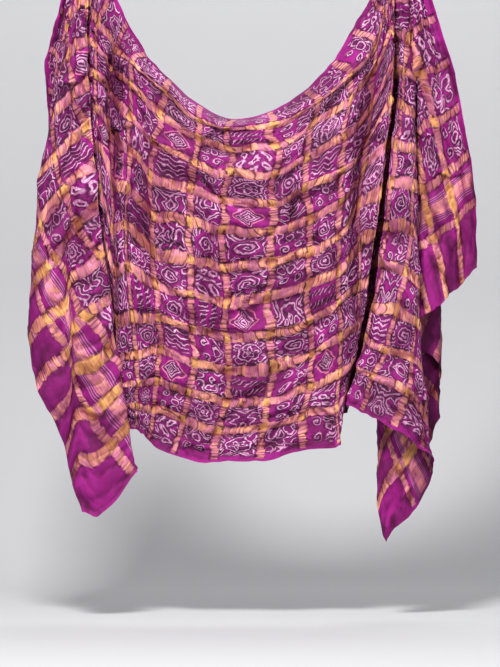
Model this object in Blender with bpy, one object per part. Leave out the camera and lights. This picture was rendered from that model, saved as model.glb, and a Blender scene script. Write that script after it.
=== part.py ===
"""Bandhani cloth hung from two points: one closed thin sheet in its hung shape.

Cloth coordinates are counted in squares of the gold check: u runs along the length and
t across the width.  Two fans of folds fall from the hang points and a swag lies between
them.  Fold positions are given in millimetres from the hang points and the origin.
"""
import math

import bmesh
import bpy
import numpy as np

for old in list(bpy.data.objects):
    bpy.data.objects.remove(old, do_unlink=True)

SQUARE = 84.0             # mm, one flat square of the gold check
HEM_L, HEM_R = -0.4, 25.4   # the two short hems, in squares
EDGE_T, EDGE_B = -0.2, 12.2  # the two long selvedges, in squares
HANG_L, HANG_R = 5.7, 18.3  # where the top selvedge is held, in squares
PIN_L = (-307.0, 0.0)     # mm, left hang point: across and down from the origin
PIN_R = (305.0, 4.0)      # mm, right hang point
SHEET = 1.2               # mm, thickness of the cloth
SWAG_ANGLE = -10.5        # degrees, the ray where a fan passes into the swag
BLEND_FROM = -4.0         # degrees, where that passage begins
BUNCH = 0.30              # share of the spread at radius 3 that is left at a hang point
BUNCH_DEEP = 0.5          # the same for the depth
ROUND = 2.4               # how round the cloth doubles back at a turn
ROWS = 23                 # rows of vertices down each strand
RADII = (3.0, 6.0, 9.0, 12.4)  # squares from the hang point, for the columns below

# Folds of a fan.  angle: degrees from straight down, outwards; x: mm across from the hang
# point, outwards; d: mm of depth, towards the viewer; k: stretch of the drop; each at the
# four radii.  turn: 1 where the cloth doubles back.  cols: columns to the next row.
LEFT_FOLDS = (
    # angle turn cols x3   x6    x9    x12     d3   d6   d9   d12    k3    k6    k9    k12
    (90.0, 0, 3, (94, 84, 84, 84), (-34, -78, -84, -84), (0.94, 0.96, 0.96, 0.96)),
    (77.0, 1, 3, (78, 54, 54, 54), (-28, -62, -66, -66), (0.94, 0.97, 0.97, 0.97)),
    (64.0, 1, 3, (72, 102, 102, 102), (-20, -44, -48, -48), (0.93, 0.98, 0.98, 0.98)),
    (51.0, 1, 3, (62, 54, 56, 56), (-10, -24, -28, -28), (0.92, 1.00, 1.00, 1.00)),
    (40.0, 1, 3, (52, 112, 126, 100), (2, -6, -8, -8), (0.90, 1.05, 1.02, 1.02)),
    (33.0, 0, 2, (43, 84, 92, 56), (10, 14, 12, 2), (0.92, 1.03, 1.03, 1.00)),
    (30.0, 0, 2, (38, 66, 52, 48), (8, 10, 8, 2), (0.92, 1.02, 1.02, 1.00)),
    (26.2, 0, 1, (34, 44, 38, 24), (2, 2, 2, 2), (0.92, 0.985, 0.98, 0.972)),
    (24.3, 0, 1, (26, 34, 12, -9), (6, 8, 8, 6), (0.92, 0.975, 0.978, 0.987)),
    (23.1, 0, 3, (18, 24, -12, -34), (12, 18, 16, 12), (0.91, 0.96, 0.97, 0.977)),
    (20.0, 1, 3, (8, -10, -40, -78), (2, 2, -2, -2), (0.90, 0.93, 0.955, 0.944)),
    (11.0, 1, 3, (38, 46, 52, 22), (-10, -18, -25, -28), (0.90, 0.93, 0.94, 0.94)),
    (4.0, 1, 3, (20, 0, -24, -46), (-24, -36, -44, -46), (0.90, 0.92, 0.93, 0.93)),
    (-3.0, 1, 3, (38, 46, 56, 48), (-38, -54, -62, -66), (0.90, 0.91, 0.92, 0.92)),
    (SWAG_ANGLE, 0, 0, (14, -6, -34, -46), (-50, -68, -80, -86), (0.90, 0.91, 0.92, 0.92)),
)
RIGHT_FOLDS = (
    (90.0, 0, 3, (116, 160, 160, 160), (-8, -16, -20, -20), (1.06, 1.09, 1.09, 1.09)),
    (80.0, 0, 3, (84, 126, 132, 132), (-16, -34, -36, -36), (1.06, 1.11, 1.12, 1.12)),
    (72.0, 0, 3, (68, 88, 98, 98), (-6, -16, -18, -18), (1.02, 1.12, 1.12, 1.12)),
    (56.0, 1, 3, (36, 24, 28, 28), (-20, -48, -54, -54), (0.96, 1.06, 1.08, 1.08)),
    (46.0, 1, 1, (52, 78, 92, 94), (-34, -80, -88, -88), (0.93, 1.00, 1.02, 1.02)),
    (41.0, 0, 1, (36, 50, 80, 92), (-39, -96, -105, -105), (0.92, 0.98, 1.00, 1.00)),
    (37.5, 0, 2, (30, 37, 54, 80), (-34, -84, -92, -93), (0.91, 0.96, 1.00, 1.00)),
    (33.6, 1, 2, (16, 0, -36, -40), (-20, -44, -52, -55), (0.90, 0.95, 0.99, 1.00)),
    (29.8, 0, 2, (20, 10, -20, -24), (-14, -34, -39, -42), (0.89, 0.93, 0.98, 0.985)),
    (25.0, 0, 2, (26, 26, 12, 26), (-8, -20, -26, -30), (0.88, 0.90, 0.96, 0.97)),
    (20.0, 1, 3, (32, 38, 42, 64), (-2, -6, -6, -8), (0.87, 0.87, 0.94, 0.935)),
    (15.0, 0, 2, (14, 31, 32, 30), (12, 16, 14, 12), (0.87, 0.88, 0.93, 0.912)),
    (10.0, 0, 3, (8, 6, -6, -46), (10, 18, 18, 18), (0.87, 0.885, 0.915, 0.885)),
    (3.5, 0, 2, (8, -18, -50, -102), (-16, -14, -4, 2), (0.87, 0.885, 0.915, 0.872)),
    (-0.5, 0, 2, (12, -8, -44, -96), (-50, -70, -80, -90), (0.88, 0.89, 0.91, 0.89)),
    (-5.0, 0, 2, (-8, -34, -76, -132), (-50, -70, -80, -90), (0.88, 0.89, 0.91, 0.90)),
    (SWAG_ANGLE, 0, 0, (-8, -38, -74, -130), (-28, -34, -42, -62), (0.88, 0.89, 0.90, 0.90)),
)

# The swag: one row for each check line across the cloth, and for the fold beside the left
# edge.  x: mm across from the origin; y: mm down from it; d: mm of depth; each at t = DOWN.
DOWN = (-0.2, 1.0, 3.0, 6.0, 9.0, 12.2)
SWAG_COLS = 2             # columns for each row of the table
SWAG = (
    (5.7, (-307, -311, -321, -301, -273, -261), (0, 84, 232, 480, 732, 948),
     (-22, -34, -56, -66, -84, -90)),
    (7.0, (-267, -295, -303, -291, -267, -257), (78, 144, 246, 486, 744, 954),
     (-6, -12, -16, -26, -66, -80)),
    (7.5, (-251, -271, -285, -279, -263, -255), (112, 172, 260, 524, 784, 956),
     (-10, -18, -20, -20, -50, -70)),
    (8.0, (-237, -263, -275, -265, -257, -249), (144, 196, 280, 566, 816, 956),
     (-12, -34, -42, -16, -20, -38)),
    (9.0, (-199, -231, -229, -239, -217, -221), (206, 224, 328, 552, 816, 960),
     (-20, 6, 6, 14, 6, -4)),
    (10.0, (-151, -161, -185, -183, -175, -195), (258, 284, 386, 598, 800, 982),
     (-28, 16, -14, -12, -6, -10)),
    (11.0, (-91, -91, -101, -107, -103, -145), (308, 340, 422, 620, 824, 1008),
     (-40, 20, 14, 10, 8, 8)),
    (12.0, (-23, -29, -31, -47, -29, -65), (336, 360, 446, 636, 840, 1026),
     (-48, 16, 8, -12, -10, -6)),
    (13.0, (49, 59, 57, 43, 53, 27), (320, 352, 450, 632, 832, 1022),
     (-48, 16, 24, 10, 10, 10)),
    (14.0, (121, 145, 119, 127, 129, 113), (276, 306, 414, 604, 808, 1000),
     (-40, 20, 4, -6, -6, -4)),
    (15.0, (173, 215, 197, 185, 189, 185), (224, 250, 374, 574, 774, 992),
     (-24, 16, 16, 18, 12, 8)),
    (16.0, (213, 265, 251, 227, 227, 189), (160, 184, 316, 510, 744, 950),
     (-12, -4, -28, -20, -20, -28)),
    (17.0, (253, 279, 297, 271, 235, 177), (90, 124, 216, 486, 740, 948),
     (-4, -12, -16, -16, -24, -52)),
    (18.3, (305, 299, 297, 267, 231, 175), (4, 84, 222, 482, 736, 948),
     (-14, -24, -44, -52, -60, -72)),
)

# Creases of the swag, each a soft trough from one point to another: u and t at both ends,
# half width in squares, depth in mm.
CREASES = (
    (10.0, 1.6, 15.5, 1.6, 0.75, 16.0),
    (9.2, 3.2, 10.2, 6.6, 0.45, 9.0),
    (15.0, 8.6, 10.8, 11.0, 0.55, 8.0),
    (11.3, 3.6, 12.6, 8.0, 0.40, 6.0),
    (13.6, 4.0, 13.2, 9.5, 0.40, 6.0),
)


def slopes(keys, values, turns, steep):
    """Slopes for a smooth curve through rising keys, without overshoot."""
    count = len(keys)
    step = np.diff(keys)
    rise = np.diff(values) / step
    out = np.zeros(count)
    out[0] = rise[0]
    out[-1] = rise[-1]
    for i in range(1, count - 1):
        if rise[i - 1] * rise[i] > 0.0:
            wa = 2.0 * step[i] + step[i - 1]
            wb = step[i] + 2.0 * step[i - 1]
            out[i] = (wa + wb) / (wa / rise[i - 1] + wb / rise[i])
        if turns[i]:
            both = max(rise[i - 1] * rise[i], 0.0)
            out[i] = steep * math.sqrt(both) * math.copysign(1.0, rise[i])
    return out


def curve(keys, values, at, turns=None, steep=0.0):
    """Value of the smooth curve at a point, held level beyond its ends."""
    keys = np.asarray(keys, float)
    values = np.asarray(values, float)
    if turns is None:
        turns = [0] * len(keys)
    m = slopes(keys, values, turns, steep)
    at = min(max(at, keys[0]), keys[-1])
    i = int(min(max(np.searchsorted(keys, at) - 1, 0), len(keys) - 2))
    h = keys[i + 1] - keys[i]
    s = (at - keys[i]) / h
    a = (1.0 + 2.0 * s) * (1.0 - s) ** 2
    b = s * (1.0 - s) ** 2
    c = s * s * (3.0 - 2.0 * s)
    d = s * s * (s - 1.0)
    return a * values[i] + b * h * m[i] + c * values[i + 1] + d * h * m[i + 1]


def along_radius(row, radius):
    """One entry of a fold at a radius, straight on beyond the last column."""
    beyond = max(radius - RADII[3], 0.0) * (row[3] - row[2]) / (RADII[3] - RADII[2])
    return curve(RADII, row, max(radius, RADII[0])) + beyond


def fan_point(folds, angle, radius):
    """Across, down and depth from the hang point, in mm, of a point of a fan."""
    rows = folds[::-1]
    keys = [row[0] for row in rows]
    turns = [row[1] for row in rows]
    share = BUNCH + (1.0 - BUNCH) * min(radius / RADII[0], 1.0)
    deep = BUNCH_DEEP + (1.0 - BUNCH_DEEP) * min(radius / RADII[0], 1.0)
    spread = [along_radius(row[3], radius) for row in rows]
    depth = [along_radius(row[4], radius) for row in rows]
    stretch = [along_radius(row[5], radius) for row in rows]
    x = curve(keys, spread, angle, turns, 0.0) * share
    d = curve(keys, depth, angle, turns, ROUND) * deep
    length = SQUARE * radius * curve(keys, stretch, angle)
    down = math.sqrt(max(length * length - min(x * x, 0.8 * length * length), 0.0))
    return x, down, d


def crease_depth(u, t):
    """Depth of all creases of the swag at a point of the cloth."""
    total = 0.0
    for ua, ta, ub, tb, half, deep in CREASES:
        du, dt = ub - ua, tb - ta
        s = ((u - ua) * du + (t - ta) * dt) / (du * du + dt * dt)
        near = min(max(s, 0.0), 1.0)
        gap = math.hypot(u - ua - near * du, t - ta - near * dt)
        total -= deep * math.exp(-(gap / half) ** 2)
    return total


def swag_point(u, t):
    """Across, down and depth from the origin, in mm, of a point of the swag."""
    keys = [row[0] for row in SWAG]
    place = []
    for column in (1, 2, 3):
        line = [curve(DOWN, row[column], t) for row in SWAG]
        place.append(curve(keys, line, u))
    inside = min(max((u - 7.2) / 1.2, 0.0), 1.0) * min(max((16.8 - u) / 1.2, 0.0), 1.0)
    place[2] += crease_depth(u, t) * inside
    return place


def smooth(s):
    """Soft step from 0 to 1."""
    s = min(max(s, 0.0), 1.0)
    return s * s * (3.0 - 2.0 * s)


def fan_reach(angle, width):
    """Length of a ray of a fan up to the hem or the lower selvedge, in squares."""
    a = math.radians(angle)
    to_hem = width / math.sin(a) if a > 0.01 else 1e9
    to_edge = (EDGE_B - EDGE_T) / math.cos(a) if angle < 89.9 else 1e9
    return min(to_hem, to_edge)


def fan_strand(folds, angle, side):
    """Points down one ray of a fan; side is -1 for the left one and 1 for the right one."""
    hang = HANG_L if side < 0 else HANG_R
    pin = PIN_L if side < 0 else PIN_R
    width = hang - HEM_L if side < 0 else HEM_R - hang
    reach = fan_reach(angle, width)
    weight = smooth((BLEND_FROM - angle) / (BLEND_FROM - SWAG_ANGLE))
    points = []
    for j in range(ROWS):
        radius = reach * (j / (ROWS - 1))
        x, down, d = fan_point(folds, angle, radius)
        spot = np.array((pin[0] + side * x, pin[1] + down, d))
        if weight > 0.0:
            u = hang + side * radius * math.sin(math.radians(angle))
            t = EDGE_T + radius * math.cos(math.radians(angle))
            spot = (1.0 - weight) * spot + weight * np.array(swag_point(u, t))
        points.append(spot)
    return points


def fan_angles(folds):
    """Angles of the columns of a fan, from its outer end inwards."""
    out = []
    for row, after in zip(folds, folds[1:]):
        for i in range(row[2]):
            out.append(row[0] + (after[0] - row[0]) * i / row[2])
    out.append(folds[-1][0])
    return out


def swag_strand(share):
    """Points down one strand of the swag; share runs from its left side to its right."""
    lean = (EDGE_B - EDGE_T) * math.tan(math.radians(-SWAG_ANGLE))
    top = HANG_L + (HANG_R - HANG_L) * share
    foot = HANG_L + lean + (HANG_R - HANG_L - 2.0 * lean) * share
    points = []
    for j in range(ROWS):
        s = j / (ROWS - 1)
        points.append(np.array(swag_point(top + (foot - top) * s, EDGE_T + (EDGE_B - EDGE_T) * s)))
    return points


def build_grid():
    """Grid of points of the middle of the sheet: strands from the left hem to the right."""
    strands = [fan_strand(LEFT_FOLDS, angle, -1) for angle in fan_angles(LEFT_FOLDS)]
    count = SWAG_COLS * len(SWAG)
    for i in range(1, count):
        strands.append(swag_strand(i / count))
    right = [fan_strand(RIGHT_FOLDS, angle, 1) for angle in fan_angles(RIGHT_FOLDS)]
    strands.extend(right[::-1])
    flat = np.array(strands)
    grid = np.empty_like(flat)
    grid[:, :, 0] = flat[:, :, 0]
    grid[:, :, 1] = -flat[:, :, 2]
    grid[:, :, 2] = -flat[:, :, 1]
    return grid * 0.001


def grid_normals(grid):
    """Unit normals of the grid, towards the viewer where the cloth faces the viewer."""
    across = np.gradient(grid, axis=0)
    down = np.gradient(grid, axis=1)
    normal = np.cross(down, across)
    size = np.linalg.norm(normal, axis=2, keepdims=True)
    return normal / np.maximum(size, 1e-12)


def build_cloth():
    grid = build_grid()
    normal = grid_normals(grid)
    front = grid + normal * (0.0005 * SHEET)
    back = grid - normal * (0.0005 * SHEET)
    across, down = grid.shape[0], grid.shape[1]
    mesh = bpy.data.meshes.new("cloth")
    body = bmesh.new()
    fv = [[body.verts.new(front[i, j]) for j in range(down)] for i in range(across)]
    bv = [[body.verts.new(back[i, j]) for j in range(down)] for i in range(across)]
    for i in range(across - 1):
        for j in range(down - 1):
            quad = (fv[i][j], fv[i][j + 1], fv[i + 1][j + 1], fv[i + 1][j])
            body.faces.new(quad)
            quad = (bv[i][j], bv[i + 1][j], bv[i + 1][j + 1], bv[i][j + 1])
            body.faces.new(quad)
    for i in range(across - 1):
        body.faces.new((fv[i][0], fv[i + 1][0], bv[i + 1][0], bv[i][0]))
        body.faces.new((fv[i + 1][-1], fv[i][-1], bv[i][-1], bv[i + 1][-1]))
    for j in range(down - 1):
        body.faces.new((fv[0][j + 1], fv[0][j], bv[0][j], bv[0][j + 1]))
        body.faces.new((fv[-1][j], fv[-1][j + 1], bv[-1][j + 1], bv[-1][j]))
    bmesh.ops.triangulate(body, faces=body.faces[:])
    bmesh.ops.recalc_face_normals(body, faces=body.faces[:])
    body.to_mesh(mesh)
    body.free()
    cloth = bpy.data.objects.new("cloth", mesh)
    bpy.context.scene.collection.objects.link(cloth)
    fabric = bpy.data.materials.new("cloth")
    fabric.use_nodes = True
    shader = fabric.node_tree.nodes["Principled BSDF"]
    shader.inputs["Base Color"].default_value = (0.25, 0.02, 0.16, 1.0)
    shader.inputs["Roughness"].default_value = 0.6
    mesh.materials.append(fabric)
    return cloth


build_cloth()
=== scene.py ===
"""Looks of the bandhani cloth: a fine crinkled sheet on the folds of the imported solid."""
import math

import bpy
import numpy as np
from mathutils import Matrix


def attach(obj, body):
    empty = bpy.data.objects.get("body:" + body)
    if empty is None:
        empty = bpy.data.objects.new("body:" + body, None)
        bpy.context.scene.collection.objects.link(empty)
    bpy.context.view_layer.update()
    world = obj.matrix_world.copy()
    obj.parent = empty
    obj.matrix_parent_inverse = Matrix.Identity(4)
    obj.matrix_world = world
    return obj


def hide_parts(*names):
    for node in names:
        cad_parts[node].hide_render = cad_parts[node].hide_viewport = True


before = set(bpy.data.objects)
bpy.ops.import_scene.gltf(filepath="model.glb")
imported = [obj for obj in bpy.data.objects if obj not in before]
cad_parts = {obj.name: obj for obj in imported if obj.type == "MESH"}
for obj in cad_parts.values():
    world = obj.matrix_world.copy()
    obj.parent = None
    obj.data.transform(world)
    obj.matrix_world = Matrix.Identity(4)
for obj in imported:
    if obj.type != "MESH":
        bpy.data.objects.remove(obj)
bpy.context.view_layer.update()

# ---------------------------------------------------------------- camera and view
MM = 0.001
VIEW_W, VIEW_H = 500, 667    # size of the view in pixels
PIXEL = 0.002                # metres of cloth for one pixel of the view
ORIGIN = (245.5, -50.0)      # place of the origin in the view, in pixels from the top left
LENS = 200.0                 # mm
SENSOR = 36.0                # mm
FAR_CLIP = 60.0              # metres


def place_camera():
    """Level long lens in front of the cloth, as far off as makes a pixel PIXEL wide on it."""
    data = bpy.data.cameras.new("view")
    data.lens = LENS
    data.sensor_fit = "VERTICAL"
    data.sensor_height = SENSOR
    data.clip_end = FAR_CLIP
    camera = bpy.data.objects.new("view", data)
    bpy.context.scene.collection.objects.link(camera)
    distance = LENS * (VIEW_H * PIXEL) / SENSOR
    across = VIEW_W / 2.0 - ORIGIN[0]
    up = ORIGIN[1] - VIEW_H / 2.0
    camera.location = (across * PIXEL, -distance, up * PIXEL)
    camera.rotation_euler = (math.radians(90.0), 0.0, 0.0)
    bpy.context.scene.camera = camera


place_camera()

# ---------------------------------------------------------------- the hung shape
# The tables and rules are those of the solid, in millimetres and squares of the check.
SQUARE = 84.0                # mm, side of one square of the check
HEM_L, HEM_R = -0.4, 25.4    # u of the short hems, in squares along the cloth
EDGE_T, EDGE_B = -0.2, 12.2  # t of the selvedges, in squares across the cloth
HANG_L, HANG_R = 5.7, 18.3   # u of the two hang points
PIN_L = (-307.0, 0.0)        # places of the hang points, across and down in mm
PIN_R = (305.0, 4.0)
SWAG_ANGLE = -10.5           # degrees, the ray where a fan ends and the swag starts
BLEND_FROM = -4.0            # degrees, the ray from which a fan turns into the swag
BUNCH = 0.30                 # share of the spread across that is left at a hang point
BUNCH_DEEP = 0.5             # share of the depth that is left there
ROUND = 2.4                  # how full the turns of the folds are
ROWS = 200                   # points down each strand
RADII = (3.0, 6.0, 9.0, 12.4)    # squares from the hang point, for the columns below

# angle, turn, columns to the next row, then across, depth and stretch at the four radii
LEFT_FOLDS = (
    (90.0, 0, 9, (94, 84, 84, 84), (-34, -78, -84, -84), (0.94, 0.96, 0.96, 0.96)),
    (77.0, 1, 9, (78, 54, 54, 54), (-28, -62, -66, -66), (0.94, 0.97, 0.97, 0.97)),
    (64.0, 1, 9, (72, 102, 102, 102), (-20, -44, -48, -48), (0.93, 0.98, 0.98, 0.98)),
    (51.0, 1, 10, (62, 54, 56, 56), (-10, -24, -28, -28), (0.92, 1.00, 1.00, 1.00)),
    (40.0, 1, 14, (52, 112, 126, 100), (2, -6, -8, -8), (0.90, 1.05, 1.02, 1.02)),
    (33.0, 0, 10, (43, 84, 92, 56), (10, 14, 12, 2), (0.92, 1.03, 1.03, 1.00)),
    (30.0, 0, 14, (38, 66, 52, 48), (8, 10, 8, 2), (0.92, 1.02, 1.02, 1.00)),
    (26.2, 0, 8, (34, 44, 38, 24), (2, 2, 2, 2), (0.92, 0.985, 0.98, 0.972)),
    (24.3, 0, 7, (26, 34, 12, -9), (6, 8, 8, 6), (0.92, 0.975, 0.978, 0.987)),
    (23.1, 0, 17, (18, 24, -12, -34), (12, 18, 16, 12), (0.91, 0.96, 0.97, 0.977)),
    (20.0, 1, 14, (8, -10, -40, -78), (2, 2, -2, -2), (0.90, 0.93, 0.955, 0.944)),
    (11.0, 1, 11, (38, 46, 52, 22), (-10, -18, -25, -28), (0.90, 0.93, 0.94, 0.94)),
    (4.0, 1, 11, (20, 0, -24, -46), (-24, -36, -44, -46), (0.90, 0.92, 0.93, 0.93)),
    (-3.0, 1, 12, (38, 46, 56, 48), (-38, -54, -62, -66), (0.90, 0.91, 0.92, 0.92)),
    (SWAG_ANGLE, 0, 0, (14, -6, -34, -46), (-50, -68, -80, -86), (0.90, 0.91, 0.92, 0.92)),
)
RIGHT_FOLDS = (
    (90.0, 0, 17, (116, 160, 160, 160), (-8, -16, -20, -20), (1.06, 1.09, 1.09, 1.09)),
    (80.0, 0, 15, (84, 126, 132, 132), (-16, -34, -36, -36), (1.06, 1.11, 1.12, 1.12)),
    (72.0, 0, 20, (68, 88, 98, 98), (-6, -16, -18, -18), (1.02, 1.12, 1.12, 1.12)),
    (56.0, 1, 12, (36, 24, 28, 28), (-20, -48, -54, -54), (0.96, 1.06, 1.08, 1.08)),
    (46.0, 1, 7, (52, 78, 92, 94), (-34, -80, -88, -88), (0.93, 1.00, 1.02, 1.02)),
    (41.0, 0, 5, (36, 50, 80, 92), (-39, -96, -105, -105), (0.92, 0.98, 1.00, 1.00)),
    (37.5, 0, 6, (30, 37, 54, 80), (-34, -84, -92, -93), (0.91, 0.96, 1.00, 1.00)),
    (33.6, 1, 8, (16, 0, -36, -40), (-20, -44, -52, -55), (0.90, 0.95, 0.99, 1.00)),
    (29.8, 0, 10, (20, 10, -20, -24), (-14, -34, -39, -42), (0.89, 0.93, 0.98, 0.985)),
    (25.0, 0, 12, (26, 26, 12, 26), (-8, -20, -26, -30), (0.88, 0.90, 0.96, 0.97)),
    (20.0, 1, 16, (32, 38, 42, 64), (-2, -6, -6, -8), (0.87, 0.87, 0.94, 0.935)),
    (15.0, 0, 18, (14, 31, 32, 30), (12, 16, 14, 12), (0.87, 0.88, 0.93, 0.912)),
    (10.0, 0, 20, (8, 6, -6, -46), (10, 18, 18, 18), (0.87, 0.885, 0.915, 0.885)),
    (3.5, 0, 8, (8, -18, -50, -102), (-16, -14, -4, 2), (0.87, 0.885, 0.915, 0.872)),
    (-0.5, 0, 5, (12, -8, -44, -96), (-50, -70, -80, -90), (0.88, 0.89, 0.91, 0.89)),
    (-5.0, 0, 8, (-8, -34, -76, -132), (-50, -70, -80, -90), (0.88, 0.89, 0.91, 0.90)),
    (SWAG_ANGLE, 0, 0, (-8, -38, -74, -130), (-28, -34, -42, -62), (0.88, 0.89, 0.90, 0.90)),
)

DOWN = (-0.2, 1.0, 3.0, 6.0, 9.0, 12.2)
SWAG_STRANDS = 158
# check line, then across, down and depth at t = DOWN
SWAG = (
    (5.7, (-307, -311, -321, -301, -273, -261), (0, 84, 232, 480, 732, 948),
     (-22, -34, -56, -66, -84, -90)),
    (7.0, (-267, -295, -303, -291, -267, -257), (78, 144, 246, 486, 744, 954),
     (-6, -12, -16, -26, -66, -80)),
    (7.5, (-251, -271, -285, -279, -263, -255), (112, 172, 260, 524, 784, 956),
     (-10, -18, -20, -20, -50, -70)),
    (8.0, (-237, -263, -275, -265, -257, -249), (144, 196, 280, 566, 816, 956),
     (-12, -34, -42, -16, -20, -38)),
    (9.0, (-199, -231, -229, -239, -217, -221), (206, 224, 328, 552, 816, 960),
     (-20, 6, 6, 14, 6, -4)),
    (10.0, (-151, -161, -185, -183, -175, -195), (258, 284, 386, 598, 800, 982),
     (-28, 16, -14, -12, -6, -10)),
    (11.0, (-91, -91, -101, -107, -103, -145), (308, 340, 422, 620, 824, 1008),
     (-40, 20, 14, 10, 8, 8)),
    (12.0, (-23, -29, -31, -47, -29, -65), (336, 360, 446, 636, 840, 1026),
     (-48, 16, 8, -12, -10, -6)),
    (13.0, (49, 59, 57, 43, 53, 27), (320, 352, 450, 632, 832, 1022),
     (-48, 16, 24, 10, 10, 10)),
    (14.0, (121, 145, 119, 127, 129, 113), (276, 306, 414, 604, 808, 1000),
     (-40, 20, 4, -6, -6, -4)),
    (15.0, (173, 215, 197, 185, 189, 185), (224, 250, 374, 574, 774, 992),
     (-24, 16, 16, 18, 12, 8)),
    (16.0, (213, 265, 251, 227, 227, 189), (160, 184, 316, 510, 744, 950),
     (-12, -4, -28, -20, -20, -28)),
    (17.0, (253, 279, 297, 271, 235, 177), (90, 124, 216, 486, 740, 948),
     (-4, -12, -16, -16, -24, -52)),
    (18.3, (305, 299, 297, 267, 231, 175), (4, 84, 222, 482, 736, 948),
     (-14, -24, -44, -52, -60, -72)),
)

# creases of the swag: from u, t to u, t, half width in squares, depth in mm
CREASES = (
    (10.0, 1.6, 15.5, 1.6, 0.75, 16.0),
    (9.2, 3.2, 10.2, 6.6, 0.45, 9.0),
    (15.0, 8.6, 10.8, 11.0, 0.55, 8.0),
    (11.3, 3.6, 12.6, 8.0, 0.40, 6.0),
    (13.6, 4.0, 13.2, 9.5, 0.40, 6.0),
)


def curve(keys, values, at, turns=None, steep=0.0):
    """Smooth curve without overshoot through rising keys, for an array of points.

    values has a row for each key, and may have a column for each point."""
    keys = np.asarray(keys, float)
    at = np.clip(np.asarray(at, float), keys[0], keys[-1])
    values = np.asarray(values, float)
    if values.ndim == 1:
        values = np.repeat(values[:, None], at.size, axis=1)
    step = np.diff(keys)[:, None]
    rise = np.diff(values, axis=0) / step
    m = np.zeros_like(values)
    m[0], m[-1] = rise[0], rise[-1]
    wa = 2.0 * step[1:] + step[:-1]
    wb = step[1:] + 2.0 * step[:-1]
    same = rise[:-1] * rise[1:] > 0.0
    safe_a = np.where(same, rise[:-1], 1.0)
    safe_b = np.where(same, rise[1:], 1.0)
    m[1:-1] = np.where(same, (wa + wb) / (wa / safe_a + wb / safe_b), 0.0)
    if turns is not None:
        for i in range(1, len(keys) - 1):
            if turns[i]:
                both = np.maximum(rise[i - 1] * rise[i], 0.0)
                m[i] = steep * np.sqrt(both) * np.sign(rise[i])
    i = np.clip(np.searchsorted(keys, at) - 1, 0, len(keys) - 2)
    n = np.arange(at.size)
    h = keys[i + 1] - keys[i]
    s = (at - keys[i]) / h
    a = (1.0 + 2.0 * s) * (1.0 - s) ** 2
    b = s * (1.0 - s) ** 2
    c = s * s * (3.0 - 2.0 * s)
    d = s * s * (s - 1.0)
    return a * values[i, n] + b * h * m[i, n] + c * values[i + 1, n] + d * h * m[i + 1, n]


def along_radius(row, radius):
    """Value of a table row at each radius, carried on in a straight line beyond the last."""
    beyond = np.maximum(radius - RADII[3], 0.0) * (row[3] - row[2]) / (RADII[3] - RADII[2])
    return curve(RADII, row, np.maximum(radius, RADII[0])) + beyond


def fan_points(folds, angle, radius):
    """Across, down and depth from the hang point for arrays of angle and radius."""
    rows = folds[::-1]
    keys = [row[0] for row in rows]
    turns = [row[1] for row in rows]
    near = np.minimum(radius / RADII[0], 1.0)
    share = BUNCH + (1.0 - BUNCH) * near
    deep = BUNCH_DEEP + (1.0 - BUNCH_DEEP) * near
    spread = np.array([along_radius(row[3], radius) for row in rows])
    depth = np.array([along_radius(row[4], radius) for row in rows])
    stretch = np.array([along_radius(row[5], radius) for row in rows])
    x = curve(keys, spread, angle, turns, 0.0) * share
    d = curve(keys, depth, angle, turns, ROUND) * deep
    length = SQUARE * radius * curve(keys, stretch, angle)
    down = np.sqrt(np.maximum(length ** 2 - np.minimum(x * x, 0.8 * length ** 2), 0.0))
    return np.stack((x, down, d), axis=1)


def crease_depth(u, t):
    """How far back the creases lie in the swag, as depths of 0 mm and less."""
    total = np.zeros_like(u)
    for ua, ta, ub, tb, half, deep in CREASES:
        du, dt = ub - ua, tb - ta
        s = np.clip(((u - ua) * du + (t - ta) * dt) / (du * du + dt * dt), 0.0, 1.0)
        gap = np.hypot(u - ua - s * du, t - ta - s * dt)
        total -= deep * np.exp(-(gap / half) ** 2)
    return total


def swag_points(u, t):
    """Across, down and depth of the swag for arrays of u and t."""
    keys = [row[0] for row in SWAG]
    place = []
    for column in (1, 2, 3):
        lines = np.array([curve(DOWN, row[column], t) for row in SWAG])
        place.append(curve(keys, lines, u))
    inside = np.clip((u - 7.2) / 1.2, 0.0, 1.0) * np.clip((16.8 - u) / 1.2, 0.0, 1.0)
    place[2] = place[2] + crease_depth(u, t) * inside
    return np.stack(place, axis=1)


def smooth(s):
    """Soft step from 0 to 1 for values from 0 to 1."""
    s = np.clip(s, 0.0, 1.0)
    return s * s * (3.0 - 2.0 * s)


def fan_reach(angle, width):
    """Length of a ray in squares, to the hem or to the lower selvedge."""
    a = math.radians(angle)
    to_hem = width / math.sin(a) if a > 0.01 else 1e9
    to_edge = (EDGE_B - EDGE_T) / math.cos(a) if angle < 89.9 else 1e9
    return min(to_hem, to_edge)


def fan_angles(folds):
    """Angle of every strand of a fan, from its outer end inwards."""
    out = []
    for row, after in zip(folds, folds[1:]):
        out.extend(row[0] + (after[0] - row[0]) * i / row[2] for i in range(row[2]))
    out.append(folds[-1][0])
    return out


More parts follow.
